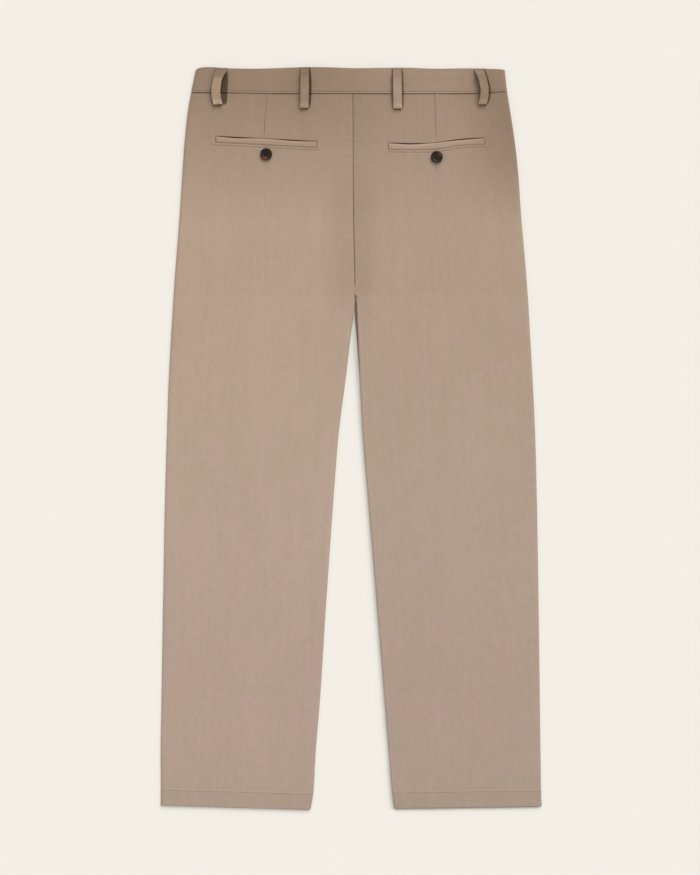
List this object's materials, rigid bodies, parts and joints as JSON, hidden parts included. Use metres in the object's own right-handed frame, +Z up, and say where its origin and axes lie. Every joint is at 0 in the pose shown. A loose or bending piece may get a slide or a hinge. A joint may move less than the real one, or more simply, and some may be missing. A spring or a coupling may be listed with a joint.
{
  "type": "chino trousers laid flat",
  "caption": "Straight-leg cotton chino trousers laid flat with the back up, with a waistband, belt loops and buttoned welt pockets.",
  "frame": {"origin": "centre of the bounding box, on the surface that the trousers lie on", "axes": "+Y from the hems to the waist, +X to the wearer's right, +Z up off the surface towards the back of the trousers"},
  "size_m": [0.5336, 1.0381, 0.016],
  "materials": {
    "cloth": "fine cotton twill, matt with a faint sheen",
    "button": "dark horn with brown flecks, polished rim"
  },
  "bodies": {
    "root": {"back_left": "cloth", "back_right": "cloth", "front_left": "cloth", "front_right": "cloth", "fly_shield": "cloth", "waistband": "cloth", "belt_loop_outer_left": "cloth", "belt_loop_inner_left": "cloth", "belt_loop_inner_right": "cloth", "belt_loop_outer_right": "cloth", "belt_loop_front_left": "cloth", "belt_loop_front_right": "cloth", "pocket_welt_left": "cloth", "pocket_welt_right": "cloth", "pocket_button_left": "button", "pocket_button_right": "button", "waist_button": "button"}
  },
  "joints": []
}
